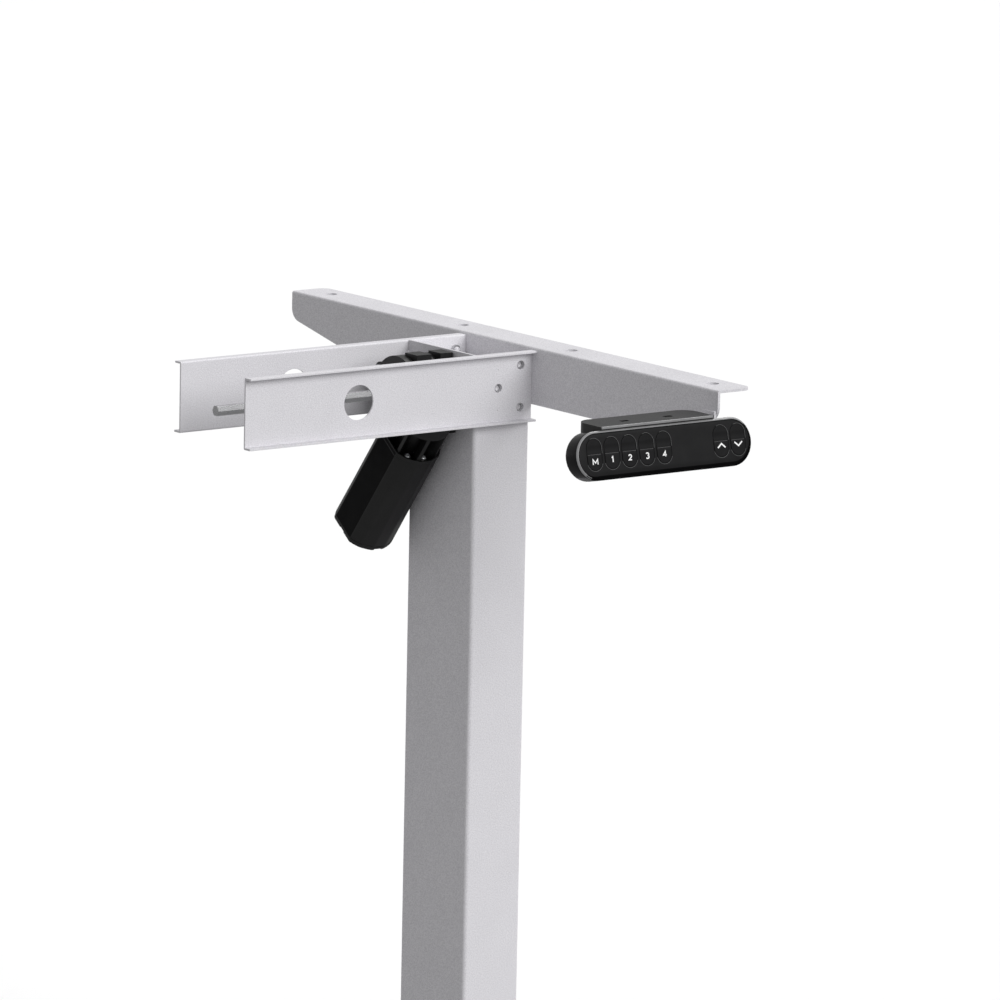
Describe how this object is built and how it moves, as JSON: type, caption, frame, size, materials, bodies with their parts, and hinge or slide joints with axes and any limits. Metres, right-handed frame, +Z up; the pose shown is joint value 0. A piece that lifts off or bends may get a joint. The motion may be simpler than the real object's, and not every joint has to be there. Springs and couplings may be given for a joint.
{
  "type": "motorised desk lifting column",
  "caption": "Motorised desk lifting column: telescoping tube raised by a screw, with worm gear motor, hexagonal drive rod, beam rails, side bracket and keypad.",
  "frame": {"origin": "centre of the foot plate's underside, on the column's axis", "axes": "+Z up along the column, -Y towards the user and the handset, -X along the beam rails"},
  "size_m": [0.285, 0.5475, 0.642],
  "materials": {
    "powder_coat": "fine light grey powder coat",
    "bright_steel": "drawn and ground steel",
    "zinc_steel": "bright zinc plate",
    "cast_metal": "die-cast, matt",
    "brass_parts": "machined",
    "worm_steel": "ground, oiled",
    "black_moulding": "fine moulded grain",
    "white_acetal": "natural acetal",
    "handset_shell": "satin black",
    "handset_gloss": "satin black",
    "circuit_board": "solder mask",
    "key_cap": "soft-touch black"
  },
  "bodies": {
    "lower_column": {"foot_plate": "powder_coat", "inner_tube": "bright_steel", "nut_holder": "white_acetal", "lead_nut": "white_acetal", "upper_glides": "white_acetal"},
    "upper_column": {"bevel_cover": "cast_metal", "bevel_housing": "cast_metal", "bevel_screws": "zinc_steel", "brush_holder": "black_moulding", "bulkhead": "powder_coat", "column_head": "powder_coat", "gearbox_case": "black_moulding", "gearbox_cover": "black_moulding", "gearbox_screws": "zinc_steel", "glide_collar": "black_moulding", "handset_bracket": "powder_coat", "handset_circuit_board": "circuit_board", "handset_face": "handset_gloss", "handset_housing": "handset_shell", "handset_mount": "black_moulding", "handset_screws": "zinc_steel", "handset_socket": "black_moulding", "motor_bearings": "zinc_steel", "motor_can": "bright_steel", "motor_cover": "black_moulding", "motor_end_cap": "black_moulding", "motor_magnets": "cast_metal", "motor_socket": "black_moulding", "outer_tube": "powder_coat", "rail_front": "powder_coat", "rail_rear": "powder_coat", "rail_rivets": "bright_steel", "rod_bushes": "brass_parts", "side_bracket": "powder_coat", "spindle_bearing": "zinc_steel"},
    "spindle": {"lead_screw": "bright_steel", "spindle_bevel_gear": "cast_metal"},
    "drive_rod_shaft": {"drive_rod": "bright_steel", "rod_bevel_gear": "cast_metal", "worm_wheel": "brass_parts", "rod_circlips": "zinc_steel"},
    "motor_rotor": {"motor_shaft": "bright_steel", "motor_armature": "cast_metal", "commutator": "brass_parts", "worm": "worm_steel"},
    "key_memory_button": {"key_memory": "key_cap"},
    "key_one_button": {"key_one": "key_cap"},
    "key_two_button": {"key_two": "key_cap"},
    "key_three_button": {"key_three": "key_cap"},
    "key_four_button": {"key_four": "key_cap"},
    "key_up_button": {"key_up": "key_cap"},
    "key_down_button": {"key_down": "key_cap"}
  },
  "joints": [
    {"name": "column_lift", "type": "slide", "parent": "lower_column", "child": "upper_column", "axis": [0, 0, 1], "range_m": [0, 0.44]},
    {"name": "spindle_spin", "type": "hinge", "parent": "upper_column", "child": "spindle", "pos_m": [0, 0, 0.61], "axis": [0, 0, 1], "continuous": true},
    {"name": "drive_rod_spin", "type": "hinge", "parent": "upper_column", "child": "drive_rod_shaft", "pos_m": [-0.047, 0, 0.61], "axis": [1, 0, 0], "continuous": true},
    {"name": "motor_spin", "type": "hinge", "parent": "upper_column", "child": "motor_rotor", "pos_m": [-0.047, -0.01363, 0.59935], "axis": [0, -0.6157, 0.788], "continuous": true},
    {"name": "key_memory_press", "type": "slide", "parent": "upper_column", "child": "key_memory_button", "axis": [0, 0.9781, -0.2079], "range_m": [0, 0.0008], "stiffness_N_per_m": 600, "springref_m": -0.0004},
    {"name": "key_one_press", "type": "slide", "parent": "upper_column", "child": "key_one_button", "axis": [0, 0.9781, -0.2079], "range_m": [0, 0.0008], "stiffness_N_per_m": 600, "springref_m": -0.0004},
    {"name": "key_two_press", "type": "slide", "parent": "upper_column", "child": "key_two_button", "axis": [0, 0.9781, -0.2079], "range_m": [0, 0.0008], "stiffness_N_per_m": 600, "springref_m": -0.0004},
    {"name": "key_three_press", "type": "slide", "parent": "upper_column", "child": "key_three_button", "axis": [0, 0.9781, -0.2079], "range_m": [0, 0.0008], "stiffness_N_per_m": 600, "springref_m": -0.0004},
    {"name": "key_four_press", "type": "slide", "parent": "upper_column", "child": "key_four_button", "axis": [0, 0.9781, -0.2079], "range_m": [0, 0.0008], "stiffness_N_per_m": 600, "springref_m": -0.0004},
    {"name": "key_up_press", "type": "slide", "parent": "upper_column", "child": "key_up_button", "axis": [0, 0.9781, -0.2079], "range_m": [0, 0.0008], "stiffness_N_per_m": 600, "springref_m": -0.0004},
    {"name": "key_down_press", "type": "slide", "parent": "upper_column", "child": "key_down_button", "axis": [0, 0.9781, -0.2079], "range_m": [0, 0.0008], "stiffness_N_per_m": 600, "springref_m": -0.0004}
  ],
  "couplings": [
    {"joint": "spindle_spin", "follows": "column_lift", "rad_per_m": 628.32},
    {"joint": "drive_rod_spin", "follows": "column_lift", "rad_per_m": -628.32},
    {"joint": "motor_spin", "follows": "column_lift", "rad_per_m": -7539.8}
  ]
}
